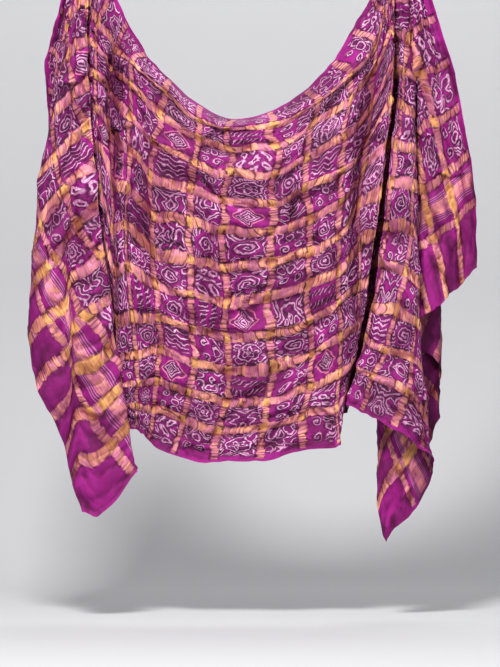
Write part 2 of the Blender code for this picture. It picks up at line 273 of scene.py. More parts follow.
def fan_grid(folds, side):
    """u, t and place of every point of a fan, strands from its outer end inwards."""
    hang = HANG_L if side < 0 else HANG_R
    pin = PIN_L if side < 0 else PIN_R
    width = hang - HEM_L if side < 0 else HEM_R - hang
    angles = np.array(fan_angles(folds))
    reach = np.array([fan_reach(a, width) for a in angles])
    step = np.linspace(0.0, 1.0, ROWS)
    radius = (reach[:, None] * step[None, :]).ravel()
    angle = np.repeat(angles, ROWS)
    spot = fan_points(folds, angle, radius)
    spot[:, 0] = pin[0] + side * spot[:, 0]
    spot[:, 1] = pin[1] + spot[:, 1]
    u = hang + side * radius * np.sin(np.radians(angle))
    t = EDGE_T + radius * np.cos(np.radians(angle))
    weight = smooth((BLEND_FROM - angle) / (BLEND_FROM - SWAG_ANGLE))[:, None]
    spot = (1.0 - weight) * spot + weight * swag_points(u, t)
    size = (len(angles), ROWS)
    return u.reshape(size), t.reshape(size), spot.reshape(size + (3,))


def swag_grid():
    """u, t and place of every point of the swag, strands from left to right."""
    lean = (EDGE_B - EDGE_T) * math.tan(math.radians(-SWAG_ANGLE))
    share = np.arange(1, SWAG_STRANDS) / SWAG_STRANDS
    top = HANG_L + (HANG_R - HANG_L) * share
    foot = HANG_L + lean + (HANG_R - HANG_L - 2.0 * lean) * share
    step = np.linspace(0.0, 1.0, ROWS)
    u = top[:, None] + (foot - top)[:, None] * step[None, :]
    t = np.repeat((EDGE_T + (EDGE_B - EDGE_T) * step)[None, :], len(share), axis=0)
    spot = swag_points(u.ravel(), t.ravel())
    return u, t, spot.reshape(u.shape + (3,))


def whole_grid():
    """u, t and place of every point of the cloth, strands from the left hem to the right."""
    left = fan_grid(LEFT_FOLDS, -1)
    middle = swag_grid()
    right = fan_grid(RIGHT_FOLDS, 1)
    return [np.concatenate((a, b, c[::-1])) for a, b, c in zip(left, middle, right)]


# ---------------------------------------------------------------- crinkle of the cloth
BAND_W, BAND_L = 0.090, 0.148   # half widths of the short and the long gold bands, in squares
L_LAST, W_LAST = 11, 24         # the gold bands are at t = 1..11 and u = 1..24
EDGE_ROW = 1.13                 # height of the squares beside the selvedges, in squares
MID_U, MID_T = 12.5, 6.0        # middle of the cloth, in squares
HALF_WIDTH = 6.2                # from the middle to a selvedge, in squares
HANG_MID = 12.0                 # u midway between the hang points

# heights of the crinkle in mm
PUFF = 4.0                # rounding of the squares and bands
PLEAT = 4.8               # pleats across the long bands
SWELL = 7.0               # soft rise and fall
WIDE_CREASE = 8.0         # creases between large pieces
FINE_CREASE = 4.4         # creases between small pieces
EDGE_ROLL = 6.0           # rolled selvedges
TUCK_LAP = 7.0            # small overlapping folds
PIN_FOLD = 4.0            # small folds that run out from the hang points
CRINKLE_MEAN = 8.2        # taken off, so that half lies before and half behind the solid


def lattice(ix, iy, seed):
    """Repeatable value between 0 and 1 for whole numbers."""
    n = (ix.astype(np.int64) * 73856093) ^ (iy.astype(np.int64) * 19349663) ^ (seed * 83492791)
    n = (n ^ (n >> 13)) * 1274126177 & 0x7FFFFFFF
    return ((n ^ (n >> 16)) & 0xFFFF) / 65535.0


def noise(x, y, seed):
    """Smooth value noise between -1 and 1."""
    ix, iy = np.floor(x), np.floor(y)
    fx, fy = smooth(x - ix), smooth(y - iy)
    a = lattice(ix, iy, seed) * (1 - fx) + lattice(ix + 1, iy, seed) * fx
    b = lattice(ix, iy + 1, seed) * (1 - fx) + lattice(ix + 1, iy + 1, seed) * fx
    return 2.0 * (a * (1 - fy) + b * fy) - 1.0


def facets(x, y, seed):
    """Flat pieces that meet in sharp creases: distance to the nearest of scattered points."""
    ix, iy = np.floor(x), np.floor(y)
    best = np.full(x.shape, 9.0)
    for i in (-1, 0, 1):
        for j in (-1, 0, 1):
            px = ix + i + lattice(ix + i, iy + j, seed)
            py = iy + j + lattice(ix + i, iy + j, seed + 1)
            best = np.minimum(best, np.hypot(x - px, y - py))
    return best


def band_gap(value, last):
    """Distance to the nearest gold band, in squares."""
    return np.abs(value - np.clip(np.round(value), 1, last))


def puff(gap, half):
    """Rounded height of a band and of the square beside it, with a crease between them."""
    on_band = 0.5 * (1.0 - np.clip(gap / half, 0.0, 1.0) ** 4)
    e = np.clip((gap - half) / (0.5 - half), 0.0, 1.0)
    return np.where(gap < half, on_band, np.sqrt(e * (2.0 - e)))


def pillow(phase):
    """Slanted pieces with sharp creases at whole phases, from 0 to 1."""
    s = phase - np.floor(phase)
    return smooth(s / 0.25) * (1.0 - 0.8 * s)


def pleat_phases(u, t):
    """Phase of the pleats across the long bands and of the ribs across the short ones."""
    row, col = np.round(t), np.round(u)
    across = u * 3.3 + 1.9 * noise(u * 1.1, row * 9.1 + 0.6 * t, 3) + 0.5 * noise(u * 2.0, t * 3.0, 7)
    along = t * 8.0 + 1.6 * noise(t * 1.3, col * 7.1, 5)
    return across, along


def crinkle(u, t):
    """Height of the crinkle in mm: puffed squares, pleats across the bands, crumple."""
    gap_t, gap_u = band_gap(t, L_LAST), band_gap(u, W_LAST)
    bend_u = u + 0.22 * noise(u * 1.3, t * 1.5, 11)
    bend_t = t + 0.16 * noise(u * 1.7, t * 1.5, 12)
    on_l = np.exp(-(gap_t / (BAND_L * 1.3)) ** 4)
    on_w = np.exp(-(gap_u / (BAND_W * 1.3)) ** 4)
    uneven = 0.5 + 0.9 * np.abs(noise(u * 1.7, np.round(t) * 3.3, 8))
    height = PUFF * puff(gap_t, BAND_L) * (0.4 + 0.6 * puff(gap_u, BAND_W))
    height += PLEAT * uneven * on_l * (1.0 - on_w) * pillow(pleat_phases(u, t)[0])
    height += SWELL * noise(bend_u * 1.3, bend_t * 1.8, 21)
    height += WIDE_CREASE * (1.0 - facets(bend_u * 1.5, bend_t * 2.2, 22))
    height += FINE_CREASE * (1.0 - facets(bend_u * 3.1, bend_t * 4.3, 24))
    height += EDGE_ROLL * np.exp(-((np.abs(t - MID_T) - HALF_WIDTH) / 0.10) ** 2)
    return height - CRINKLE_MEAN


def pin_pleats(u, t):
    """Small folds that run out from the two hang points, in mm."""
    total = np.zeros_like(u)
    for hang, seed in ((HANG_L, 41), (HANG_R, 42)):
        radius = np.hypot(u - hang, t - EDGE_T)
        angle = np.degrees(np.arctan2(u - hang, np.maximum(t - EDGE_T, 1e-6)))
        wave = np.sin(angle * 0.62 + 1.5 * noise(angle / 11.0, radius * 0.3, seed))
        total += PIN_FOLD * wave * np.exp(-(radius / 3.2) ** 2) * smooth(radius / 0.7)
    return total


def inner_part(u, t, reach):
    """1 inside the cloth, 0 at its edges; reach is the soft step's length beside the hems."""
    inside = smooth((t - EDGE_T) * 1.6) * smooth((EDGE_B - t) * 1.6)
    return inside * smooth((u - HEM_L) / reach) * smooth((HEM_R - u) / reach)


def drift(u, t):
    """Uneven shifts of the woven check within the cloth, in squares, along and across."""
    fade_out = inner_part(u, t, 3.5)
    along = 0.11 * noise(u * 0.7, t * 0.8, 31) + 0.07 * noise(u * 1.9, t * 2.2, 32)
    across = 0.12 * noise(u * 0.8, t * 0.6, 33) + 0.085 * noise(u * 1.9, t * 1.6, 34)
    return along * fade_out, across * fade_out


def tuck(place, turn, seed, deep):
    """Small overlapping folds along one direction: slip in squares, and height in mm."""
    phase = place + noise(turn * 0.4, place * 0.4, seed) + 0.25 * noise(turn * 1.4, place, seed + 1)
    number = np.floor(phase)
    s = phase - number
    size = smooth(0.35 + 0.9 * noise(turn * 0.45, number * 5.3, seed + 2))
    return size * (0.5 - s) * deep, TUCK_LAP * size * s ** 5


def woven_places(u, t):
    """u and t after drift and tucks, and the height of the tucks in mm."""
    shift_u, shift_t = drift(u, t)
    slip_t, lap_t = tuck(t * 0.85, u, 61, 0.12)
    slip_u, lap_u = tuck(u * 0.60, t, 64, 0.08)
    inner = inner_part(u, t, 2.0)
    laps = (lap_t + lap_u - 2.0) * inner
    return u + shift_u + slip_u * inner, t + shift_t + slip_t * inner, laps


def edge_pull(u, t, step):
    """Ruffle of the free edges, in mm along the strands."""
    ruffle = 2.6 * noise(u * 2.3 + t * 0.4, t * 2.1, 51) + 1.6 * noise(u * 5.1, t * 4.7, 52)
    foot = ruffle * smooth(step * 18.0 - 17.0) * SQUARE * 0.02
    neck = ruffle * smooth(1.0 - step * 22.0) * smooth(6.0 - np.abs(u - HANG_MID))
    return foot - neck


# ---------------------------------------------------------------- marks for the material, with the amounts of painted shade
def blur(values, reach):
    """Mean over a square window of a grid."""
    for axis in (0, 1):
        pad = [(0, 0), (0, 0)]
        pad[axis] = (reach + 1, reach)
        total = np.cumsum(np.pad(values, pad, mode="edge"), axis=axis)
        count = values.shape[axis]
        width = 2 * reach + 1
        upper = np.take(total, np.arange(width, width + count), axis=axis)
        lower = np.take(total, np.arange(count), axis=axis)
        values = (upper - lower) / width
    return values


def valleys(height):
    """How deep each point lies in the crinkle, from 0 to 1, in narrow and wide valleys: the amount of
    painted shade there.
    """
    near = blur(blur(height, 1), 1) - height
    far = blur(blur(height, 4), 4) - height
    return np.clip(near / 1.2, 0.0, 1.0) * 0.5 + np.clip(far / 4.4, 0.0, 1.0) * 0.5


def hollowness(depth):
    """How far each point lies behind the cloth beside it, from 0 to 1: the amount of painted shade
    there.

    Each pair is a reach in strands and the depth in mm that counts as 1."""
    out = np.zeros_like(depth)
    for reach, full in ((10, 16.0), (26, 42.0)):
        front = depth.copy()
        for shift in range(1, reach + 1):
            less = full * (shift / reach) ** 2
            front[shift:] = np.maximum(front[shift:], depth[:-shift] - less)
            front[:-shift] = np.maximum(front[:-shift], depth[shift:] - less)
        out = np.maximum(out, np.clip((front - depth) / full, 0.0, 1.0))
    return out


# One letter for each square from the second to the twenty-third, a line for each row.
# S spiral, R rings, F flower, D diamond, Q squares, W waves, O ovals, C curls, L leaf,
# E paired curls, T ring of dots, B bold curls, X slanting dashes, . bare
CHART = (
    "CESFOECFECCFECOESFOEC.",
    "FOCEDTOCFEXCFFCDEOCFT.",
    "OBDECWTCDCOCLETWECDOE.",
    "SSFETBFOWCFRWOLTEFCSO.",
    "EWSOCDQTEBDBCBSDCOSWE.",
    "COERFSCBESSCSOLFSEROC.",
    "TCLSOCEFSOSCRCBOCSLCB.",
    "EEOFCWRXSXDEXBOFWCFOD.",
    "OFCETCSRWCFSCRFCTECFO.",
    "CSWOEFCBDEXCDSEFOWSCE.",
    "FTECDOETCFECOTBCDCETF.",
    "CEOCFECEOCFECOECFCEOC.",
)
KINDS = ".SRFDQWOCLETBX"     # a kind's number is its place here
FIRST_CHARTED = 2            # column of the chart's first letter


def chart_values(u, t):
    """Kind of motif and its turn for each point of the sheet."""
    col = np.floor(u).astype(int)
    row = np.clip(np.floor(t).astype(int), 0, L_LAST)
    kind = np.zeros(u.shape)
    for j, line_of_kinds in enumerate(CHART):
        for i, letter in enumerate(line_of_kinds):
            kind[(col == i + FIRST_CHARTED) & (row == j)] = KINDS.index(letter)
    spin = np.floor(lattice(col, row, 77) * 4.0)
    return kind, spin


# ---------------------------------------------------------------- the sheet
def unit(vectors):
    """The same directions at length 1."""
    return vectors / np.maximum(np.linalg.norm(vectors, axis=2, keepdims=True), 1e-9)


def crinkled_sheet():
    """Place in metres of every point, its u and t, and the marks for the material."""
    u, t, place = whole_grid()
    grid = np.stack((place[:, :, 0], -place[:, :, 2], -place[:, :, 1]), axis=2)
    down = np.gradient(grid, axis=1)
    normal = unit(np.cross(down, np.gradient(grid, axis=0)))
    step = np.linspace(0.0, 1.0, ROWS)[None, :]
    u, t, laps = woven_places(u, t)
    face_on = 0.35 + 0.65 * smooth((np.abs(normal[:, :, 1]) - 0.25) / 0.45)
    height = ((crinkle(u, t) + laps) * face_on + pin_pleats(u, t)) * smooth(step * 6.0)
    pull = edge_pull(u, t, step)
    # painted shade: how far each point lies behind the cloth beside it, and how deep it lies in the
    # crinkle
    marks = {"hollow_shade": hollowness(place[:, :, 2]), "valley_shade": valleys(height)}
    marks["pleats"], marks["ribs"] = pleat_phases(u, t)
    marks["kind"], marks["spin"] = chart_values(u, t)
    grid = (grid + normal * height[:, :, None] + unit(down) * pull[:, :, None]) * MM
    return grid, u, t, marks


def sheet_mesh(grid, u, t, marks):
    """Mesh of the sheet, with u and t as its map and the marks as its attributes."""
    strands, points = u.shape
    faces = []
    for i in range(strands - 1):
        for j in range(points - 1):
            a = i * points + j
            faces.append((a, a + 1, a + points + 1, a + points))
    mesh = bpy.data.meshes.new("cloth_sheet")
    mesh.from_pydata(grid.reshape(-1, 3).tolist(), [], faces)
    mesh.update()
    uv = mesh.uv_layers.new(name="cloth")
    index = np.empty(len(mesh.loops), dtype=np.int32)
    mesh.loops.foreach_get("vertex_index", index)
    flat = np.stack((u.ravel(), t.ravel()), axis=1)[index]
    uv.data.foreach_set("uv", flat.astype(np.float32).ravel())
    mesh.polygons.foreach_set("use_smooth", [True] * len(mesh.polygons))
    for name, values in marks.items():
        layer = mesh.attributes.new(name, "FLOAT", "POINT")
        layer.data.foreach_set("value", values.ravel().astype(np.float32))
    return mesh


mesh = sheet_mesh(*crinkled_sheet())
cloth = bpy.data.objects.new("cloth_sheet", mesh)
bpy.context.scene.collection.objects.link(cloth)

# ---------------------------------------------------------------- material: node arithmetic
fabric = bpy.data.materials.new("bandhani")
fabric.use_nodes = True
tree = fabric.node_tree
tree.nodes.clear()
MIX_A, MIX_B, MIX_COLOUR = 6, 7, 2   # colour sockets of a mix node: two inputs and the output


class Val:
    """A number in the material's node tree, with ordinary arithmetic."""

    def __init__(self, socket):
        self.socket = socket

    def __add__(self, other):
        return op("ADD", self, other)

    __radd__ = __add__

    def __sub__(self, other):
        return op("SUBTRACT", self, other)

    def __rsub__(self, other):
        return op("SUBTRACT", other, self)

    def __mul__(self, other):
        return op("MULTIPLY", self, other)

    __rmul__ = __mul__

    def __truediv__(self, other):
        return op("DIVIDE", self, other)

    def __abs__(self):
        return op("ABSOLUTE", self)


def feed(socket, value):
    """Gives a socket a number, or the result of another node."""
    if isinstance(value, Val):
        tree.links.new(value.socket, socket)
    else:
        socket.default_value = value


def feed_colour(socket, value):
    """Gives a socket a fixed colour, or the result of another node."""
    feed(socket, value if isinstance(value, Val) else (*value, 1.0))


def op(name, *values):
    """One arithmetic step."""
    node = tree.nodes.new("ShaderNodeMath")
    node.operation = name
    for socket, value in zip(node.inputs, values):
        feed(socket, value)
    return Val(node.outputs[0])


def most(first, *others):
    """Largest of several numbers."""
    for other in others:
        first = op("MAXIMUM", first, other)
    return first


def nearest(first, *others):
    """Smallest of several numbers."""
    for other in others:
        first = op("MINIMUM", first, other)
    return first


def hyp(x, y):
    """Distance of x, y from 0, 0."""
    return op("SQRT", x * x + y * y)


def fract(x):
    """What a number has beyond the whole number below it."""
    return op("FRACT", x)


def ramp(value, low, high, out_low=0.0, out_high=1.0):
    """Soft step of a value from low to high."""
    node = tree.nodes.new("ShaderNodeMapRange")
    node.interpolation_type = "SMOOTHSTEP"
    feed(node.inputs["Value"], value)
    node.inputs["From Min"].default_value = low
    node.inputs["From Max"].default_value = high
    node.inputs["To Min"].default_value = out_low
    node.inputs["To Max"].default_value = out_high
    return Val(node.outputs["Result"])


def fade(value, low, high):
    """1 below low, 0 above high."""
    return ramp(value, low, high, 1.0, 0.0)


def line(distance, width):
    """1 on a line, 0 off it."""
    return fade(abs(distance), width * 0.55, width * 1.25)


def within(value, limit):
    """1 where a value lies between minus and plus the limit, 0 elsewhere."""
    return fade(abs(value), limit * 0.94, limit * 1.04)


def attribute(name):
    """Mark that the sheet carries at each point."""
    node = tree.nodes.new("ShaderNodeAttribute")
    node.attribute_name = name
    return Val(node.outputs["Fac"])


def plane(x, y):
    """Two coordinates joined to a place."""
    joined = tree.nodes.new("ShaderNodeCombineXYZ")
    feed(joined.inputs[0], x)
    feed(joined.inputs[1], y)
    return joined.outputs[0]


def grain(x, y, scale, detail=2.0):
    """Noise between 0 and 1 over two coordinates."""
    place = plane(x, y)
    node = tree.nodes.new("ShaderNodeTexNoise")
    node.noise_dimensions = "2D"
    node.inputs["Scale"].default_value = scale
    node.inputs["Detail"].default_value = detail
    tree.links.new(place, node.inputs["Vector"])
    return Val(node.outputs["Fac"])


def sway(x, y, scale, size, detail=2.0):
    """Noise about 0, over two coordinates, from minus to plus half the size."""
    return (grain(x, y, scale, detail) - 0.5) * size


def pieces(x, y):
    """Crumple of pieces round scattered points: distance to the point, and a random value per piece
    for its painted shade.
    """
    place = plane(x, y)
    node = tree.nodes.new("ShaderNodeTexVoronoi")
    node.voronoi_dimensions = "2D"
    node.feature = "F1"
    node.inputs["Scale"].default_value = 1.0
    tree.links.new(place, node.inputs["Vector"])
    return Val(node.outputs["Distance"]), Val(node.outputs["Color"])


def chance(value):
    """Repeatable number between 0 and 1 for a whole number."""
    return fract(op("SINE", value * 12.9) * 43.7)


def blend(amount, low, high, way="MIX"):
    """Colour between two colours, or for MULTIPLY the first darkened by the second."""
    node = tree.nodes.new("ShaderNodeMix")
    node.data_type = "RGBA"
    node.blend_type = way
    feed(node.inputs["Factor"], amount)
    feed_colour(node.inputs[MIX_A], low)
    feed_colour(node.inputs[MIX_B], high)
    return Val(node.outputs[MIX_COLOUR])


def shade(tint, amount):
    """Colour multiplied by a number."""
    node = tree.nodes.new("ShaderNodeVectorMath")
    node.operation = "SCALE"
    tree.links.new(tint.socket, node.inputs[0])
    feed(node.inputs["Scale"], amount)
    return Val(node.outputs[0])


# ---------------------------------------------------------------- material: places on the cloth
WOBBLE, WOBBLE_GRAIN = 0.16, 4.6   # hand-made wobble of the drawn lines: squares, grain
TURN = 2.0 * math.pi

cloth_map = tree.nodes.new("ShaderNodeUVMap")
cloth_map.uv_map = "cloth"
split = tree.nodes.new("ShaderNodeSeparateXYZ")
tree.links.new(cloth_map.outputs[0], split.inputs[0])
u, t = Val(split.outputs[0]), Val(split.outputs[1])

# the first and last row of squares are a little taller, up to the selvedge
t_inner = nearest(most(t, 1.0), float(L_LAST))
t_cell = t_inner + (t - t_inner) / EDGE_ROW
cell_x = fract(u) - 0.5 + sway(u, t, WOBBLE_GRAIN, WOBBLE)
cell_y = fract(t_cell) - 0.5 + sway(u + 31.7, t + 11.3, WOBBLE_GRAIN, WOBBLE)
cell_id = op("FLOOR", u) * 5.17 + op("FLOOR", t_cell) * 3.31

# place in a square, after the motif's own turn
kind_mark = attribute("kind")
spin_mark = attribute("spin")
odd = op("MODULO", spin_mark, 2.0)
flip = ramp(spin_mark, 1.4, 1.6) * 2.0 - 1.0
mx = (cell_x * (1.0 - odd) + cell_y * odd) * flip
my = cell_y * (1.0 - odd) - cell_x * odd

# ---------------------------------------------------------------- material: motifs
# Each motif is the distance to its drawn lines. All sizes are in squares.
LINE = 0.0180                # half width of a drawn line
FIELD = 0.41                 # half width of the drawn part of a square
SAME_KIND = 0.45             # a kind counts as a motif's own within this
WINDING_GRAIN = 3.0          # how closely the winding lines turn


def only(distance, mask):
    """Distance to lines that are drawn only where the mask is 1."""
    return distance + (1.0 - mask) * 0.5


def repeated(value, pitch):
    """Distance to the nearest of evenly spaced lines."""
    return abs(fract(value / pitch) - 0.5) * pitch


def coil(x, y, pitch, reach):
    """Distance to a spiral round the middle."""
    size = hyp(x, y)
    turn = op("ARCTAN2", y, x) * (pitch / TURN)
    return only(repeated(size - turn, pitch), within(size, reach))


def meander(x, y, lines):
    """Distance to evenly thin winding lines."""
    nudge = 0.012
    here = grain(x, y, WINDING_GRAIN, 0.0)
    gx = (grain(x + nudge, y, WINDING_GRAIN, 0.0) - here) / nudge
    gy = (grain(x, y + nudge, WINDING_GRAIN, 0.0) - here) / nudge
    steep = most(hyp(gx, gy), 0.75)
    return repeated(here, 1.0 / lines) / steep


def petals(radius, count, depth):
    """Distance to a ring with a wavy edge."""
    return abs(r - radius - op("COSINE", ang * count) * depth)


def is_kind(letter):
    """1 in the squares of one kind of motif."""
    return within(kind_mark - float(KINDS.index(letter)), SAME_KIND)


r = hyp(mx, my)
ang = op("ARCTAN2", my, mx)
free = meander(abs(mx) + cell_id, abs(my) + cell_id * 0.7, 5.4)
diamond = abs(mx) + abs(my) * 0.95
square = most(abs(mx), abs(my) * 1.05)
round_r = hyp(mx * 1.15, my)
zig = abs(fract(cell_x * 3.2) - 0.5)
column = op("FLOOR", mx * 4.2 + 0.5)
dash_x = fract(mx * 4.2 + 0.5) - 0.5
dash_y = fract(my * 2.9 + 0.5 + column * 0.5) - 0.5
lean = dash_x + dash_y * op("SINE", cell_id * 9.0 + column * 2.1) * 0.7
oval = hyp(lean, dash_y * 0.6)
leaf = hyp(mx / 0.17, my / 0.33)

motifs = {
    # spiral with free curls round it
    "S": nearest(coil(mx * 1.15, my, 0.104, 0.27), only(free, ramp(round_r, 0.30, 0.32))),
    # rings with free curls round them
    "R": nearest(
        only(repeated(round_r + 0.02, 0.100), within(round_r, 0.26)),
        only(free, ramp(round_r, 0.29, 0.31)),
    ),
    # flower: petals, eye, wavy rim and free curls
    "F": nearest(
        petals(0.13, 5.0, 0.04),
        abs(r - 0.035),
        petals(0.24, 7.0, 0.014),
        only(free, ramp(r, 0.29, 0.31)),
    ),
    # diamonds and squares, one in the other
    "D": nearest(abs(diamond - 0.05), abs(diamond - 0.13), abs(diamond - 0.21)),
    "Q": nearest(abs(square - 0.03), abs(square - 0.11), abs(square - 0.19)),
    # zigzag waves
    "W": only(repeated(cell_y + zig * 0.17, 0.13), within(cell_x, 0.36) * within(cell_y + 0.04, 0.34)),
    # rows of leaning ovals
    "O": abs(oval - 0.22) * 0.23,
    # two coils over an arch, with free curls above
    "C": nearest(
        coil(abs(mx) - 0.19, my - 0.16, 0.088, 0.135),
        only(abs(hyp(mx, my + 0.17) - 0.09), ramp(my, -0.30, -0.28)),
        only(free, fade(my, -0.03, -0.01) * ramp(hyp(mx, my + 0.17), 0.13, 0.15)),
    ),
    # bold curls, the same left and right
    "B": meander(abs(mx) + cell_id * 1.3, my - cell_id, 4.4),
    # rows of slanting dashes
    "X": only(
        repeated(mx + my * 0.7 + op("FLOOR", my * 3.3) * 0.07, 0.125),
        fade(abs(fract(my * 3.3) - 0.5), 0.30, 0.36),
    ),
    # leaf with a midrib and veins
    "L": nearest(
        abs(leaf - 1.0) * 0.17,
        only(abs(mx), within(my, 0.36)),
        only(repeated(my + abs(mx) * 0.9, 0.12), within(leaf, 0.85)),
        only(free, ramp(leaf, 1.25, 1.4)),
    ),
    # fine curls, the same left and right
    "E": meander(abs(mx) + cell_id, my + cell_id * 0.7, 5.2),
    # ring of dots round a wavy ring and two plain ones
    "T": nearest(
        only(abs(r - 0.31), ramp(abs(fract(ang * 9.0 / TURN) - 0.5), 0.15, 0.22)),
        petals(0.21, 8.0, 0.025),
        abs(r - 0.12),
        abs(r - 0.03),
    ),
}

drawn = None
for letter, distance_to_lines in motifs.items():
    chosen = distance_to_lines * is_kind(letter)
    drawn = chosen if drawn is None else drawn + chosen
drawn = only(drawn, within(most(abs(cell_x), abs(cell_y)), FIELD))
bead = grain(u, t, 26.0, 0.0)
inked = fade(drawn + (bead - 0.5) * 0.016, LINE * 0.5, LINE * 1.5)
halo = fade(drawn, LINE * 2.0, LINE * 4.8)
diamond_frame = is_kind("D") * line(diamond - 0.32, LINE * 1.3)
square_frame = is_kind("Q") * line(square - 0.28, LINE * 1.3)

# ---------------------------------------------------------------- material: bands and stripes
# Distances are in squares, those of the end stripes are from a stripe's middle.
STRIPE_FROM_MID = 11.0       # from the cloth's middle to the middle of an end stripe
STRIPE_HALF = (0.27, 0.29)   # half width of an end stripe, and where its edge ends
BLOCK_HALF = (0.125, 0.145)  # half width of the gold in its middle, and where its edge ends
PIN_MID, PIN_GAP, PIN_WIDTH = 0.210, 0.024, 0.009   # the three thin lines on each side of it
PLAIN_FROM_MID = 10.5        # from here on a short end has no motifs
OUTER_LINE = 5.0 + EDGE_ROW  # from the middle to the line where the plain selvedge starts

# pleats across the bands, and the small step from one piece to the next
row_id = op("ROUND", t) * 3.17
col_id = op("ROUND", u) * 2.31
pleat = attribute("pleats") * 2.0
rib = attribute("ribs") + sway(u * 1.2, t * 1.2, 2.3, 0.9, 0.0)
piece_tone = chance(op("FLOOR", pleat) + row_id)
rib_tone = chance(op("FLOOR", rib) + col_id)
stepped_t = t + (piece_tone - 0.5) * 0.05
stepped_u = u + (rib_tone - 0.5) * 0.04

# gold bands
near_t = abs(stepped_t - nearest(most(op("ROUND", t), 1.0), float(L_LAST)))
near_u = abs(stepped_u - nearest(most(op("ROUND", u), 1.0), float(W_LAST)))
rough_edge = sway(u * 5.0, t * 5.0, 2.6, 0.06)
band_l = fade(near_t + rough_edge, BAND_L * 0.88, BAND_L * 1.06)
inner_t = fade(abs(t - MID_T), OUTER_LINE - 0.04, OUTER_LINE)
band_w = fade(near_u + rough_edge, BAND_W * 0.88, BAND_W * 1.06) * inner_t

# end stripes and plain ends
from_mid = abs(u - MID_U)
end_off = abs(from_mid - STRIPE_FROM_MID)
stripe = fade(end_off, *STRIPE_HALF) * inner_t
block = fade(end_off + rough_edge * 0.3, *BLOCK_HALF) * inner_t
end_zone = ramp(from_mid, PLAIN_FROM_MID - 0.02, PLAIN_FROM_MID + 0.02)
plain_end = ramp(from_mid, 10.3, 11.2)
pins = line(abs(abs(end_off - PIN_MID) - PIN_GAP) - PIN_GAP, PIN_WIDTH) * stripe * (1.0 - band_l)

gold = most(band_l, band_w, block)
cross = band_l * most(band_w, stripe)
only_l = band_l * (1.0 - most(band_w, stripe))
only_w = band_w * (1.0 - band_l)

# the drawn part leaves out the gold, the plain ends and the selvedges
drawn_part = (1.0 - gold) * (1.0 - end_zone) * inner_t
ink = inked * drawn_part
rim = (diamond_frame + square_frame) * drawn_part

# ---------------------------------------------------------------- material: creases, and masks of painted shade
# painted shade in seams beside the bands, here and there; the same seams are dented in the relief
shaded_seam_l = line(near_t - BAND_L * 1.05, 0.038)
shaded_seam_w = line(near_u - BAND_W * 1.05, 0.032) * inner_t
shaded_seam = most(shaded_seam_l, shaded_seam_w) * ramp(grain(u * 3.4, t * 3.4, 1.6, 1.0), 0.50, 0.62)

# creases between the pieces of a band, some sharp and some hardly there, with painted shade in them
crease_l = abs(fract(pleat + 0.5) - 0.5)
crease_w = abs(fract(rib + 0.5) - 0.5)
hard_l = ramp(chance(op("FLOOR", pleat + 0.5) + row_id), 0.15, 0.9)
hard_w = ramp(chance(op("FLOOR", rib + 0.5) + col_id), 0.0, 0.8, 0.25, 1.0)
crease_shade_l = fade(crease_l, 0.04, 0.15) * hard_l * only_l
crease_shade_w = fade(crease_w, 0.04, 0.26) * hard_w * only_w
crease_shade_block = fade(crease_w, 0.04, 0.20) * hard_w * 0.3 * block * (1.0 - band_l)

# pieces of the crumple, which meet in sharp creases; the tone of each piece is painted shade
bent_u = u + sway(u, t, 1.9, 0.5, 1.0)
bent_t = t + sway(u + 9.3, t, 1.9, 0.4, 1.0)
wide_gap, wide_shade = pieces(bent_u * 1.2, bent_t * 1.6)
fine_gap, fine_shade = pieces(bent_u * 2.9 + 5.1, bent_t * 3.7)

# ---------------------------------------------------------------- material: colours
MAGENTA = (0.33, 0.009, 0.205)    # ground
PURPLE = (0.072, 0.003, 0.055)    # ground close to the drawn lines
INK = (0.66, 0.23, 0.46)          # drawn lines at their dullest
WHITE = (0.90, 0.59, 0.75)        # drawn lines at their palest
GOLD = (0.91, 0.385, 0.235)       # bands
PINK = (0.80, 0.255, 0.37)        # bands where the magenta shows through
ROSE = (0.46, 0.11, 0.17)         # bands where they are dull
YELLOW = (0.87, 0.44, 0.11)       # bands where two of them cross
PALE = (0.80, 0.55, 0.62)         # thin lines of the end stripes
# the next three are painted shade: in the creases of the bands, in the seams beside them, and the tint
# of the painted shade in hollows, valleys and on pieces of the crumple
CREASE_SHADE = (0.085, 0.010, 0.034)    # creases in the bands
SEAM_SHADE = (0.055, 0.006, 0.030)      # seams beside the bands
SHADOW = (0.22, 0.055, 0.17)      # tint of the hollows

# uneven dye, and threads that run along their band
dye_patch = grain(u, t, 1.3, 3.0)
fine_dye = grain(u, t, 9.0, 2.0)
thread_l = grain(u * 30.0, t * 3.0, 1.0, 1.0)
thread_w = grain(u * 3.0, t * 30.0, 1.0, 1.0)
thread = thread_l * (1.0 - only_w) + thread_w * only_w

# ground and motifs
dye_run = ramp(fine_dye + dye_patch, 0.75, 1.25, 1.0, 0.5)
near_ink = ramp(kind_mark, 0.3, 0.6) * drawn_part * halo * dye_run
ink_colour = blend(ramp(bead, 0.3, 0.7), INK, WHITE)
colour = blend(ink, blend(near_ink, MAGENTA, PURPLE), ink_colour)
colour = blend(rim, colour, PINK)

# bands and end stripes
band_tone = grain(u * 2.2, t * 2.2, 2.6, 2.0) + (piece_tone - 0.5) * 0.62 * only_l
band_tone = band_tone - only_w * 0.05 - block * 0.08
band_colour = blend(ramp(band_tone, 0.30, 0.70), PINK, GOLD)
band_colour = blend(ramp(dye_patch, 0.50, 0.70) * 0.6, band_colour, ROSE)
band_colour = blend(cross * 0.8, band_colour, YELLOW)
colour = blend(gold, colour, band_colour)
colour = blend(pins * 0.45, colour, PALE)

# painted shade in the creases and seams, weaker in the plain ends
crease_shade = most(crease_shade_l, crease_shade_w, crease_shade_block)
colour = blend(crease_shade * (0.72 - plain_end * 0.36), colour, CREASE_SHADE)
colour = blend(shaded_seam * (0.78 - plain_end * 0.45), colour, SEAM_SHADE)

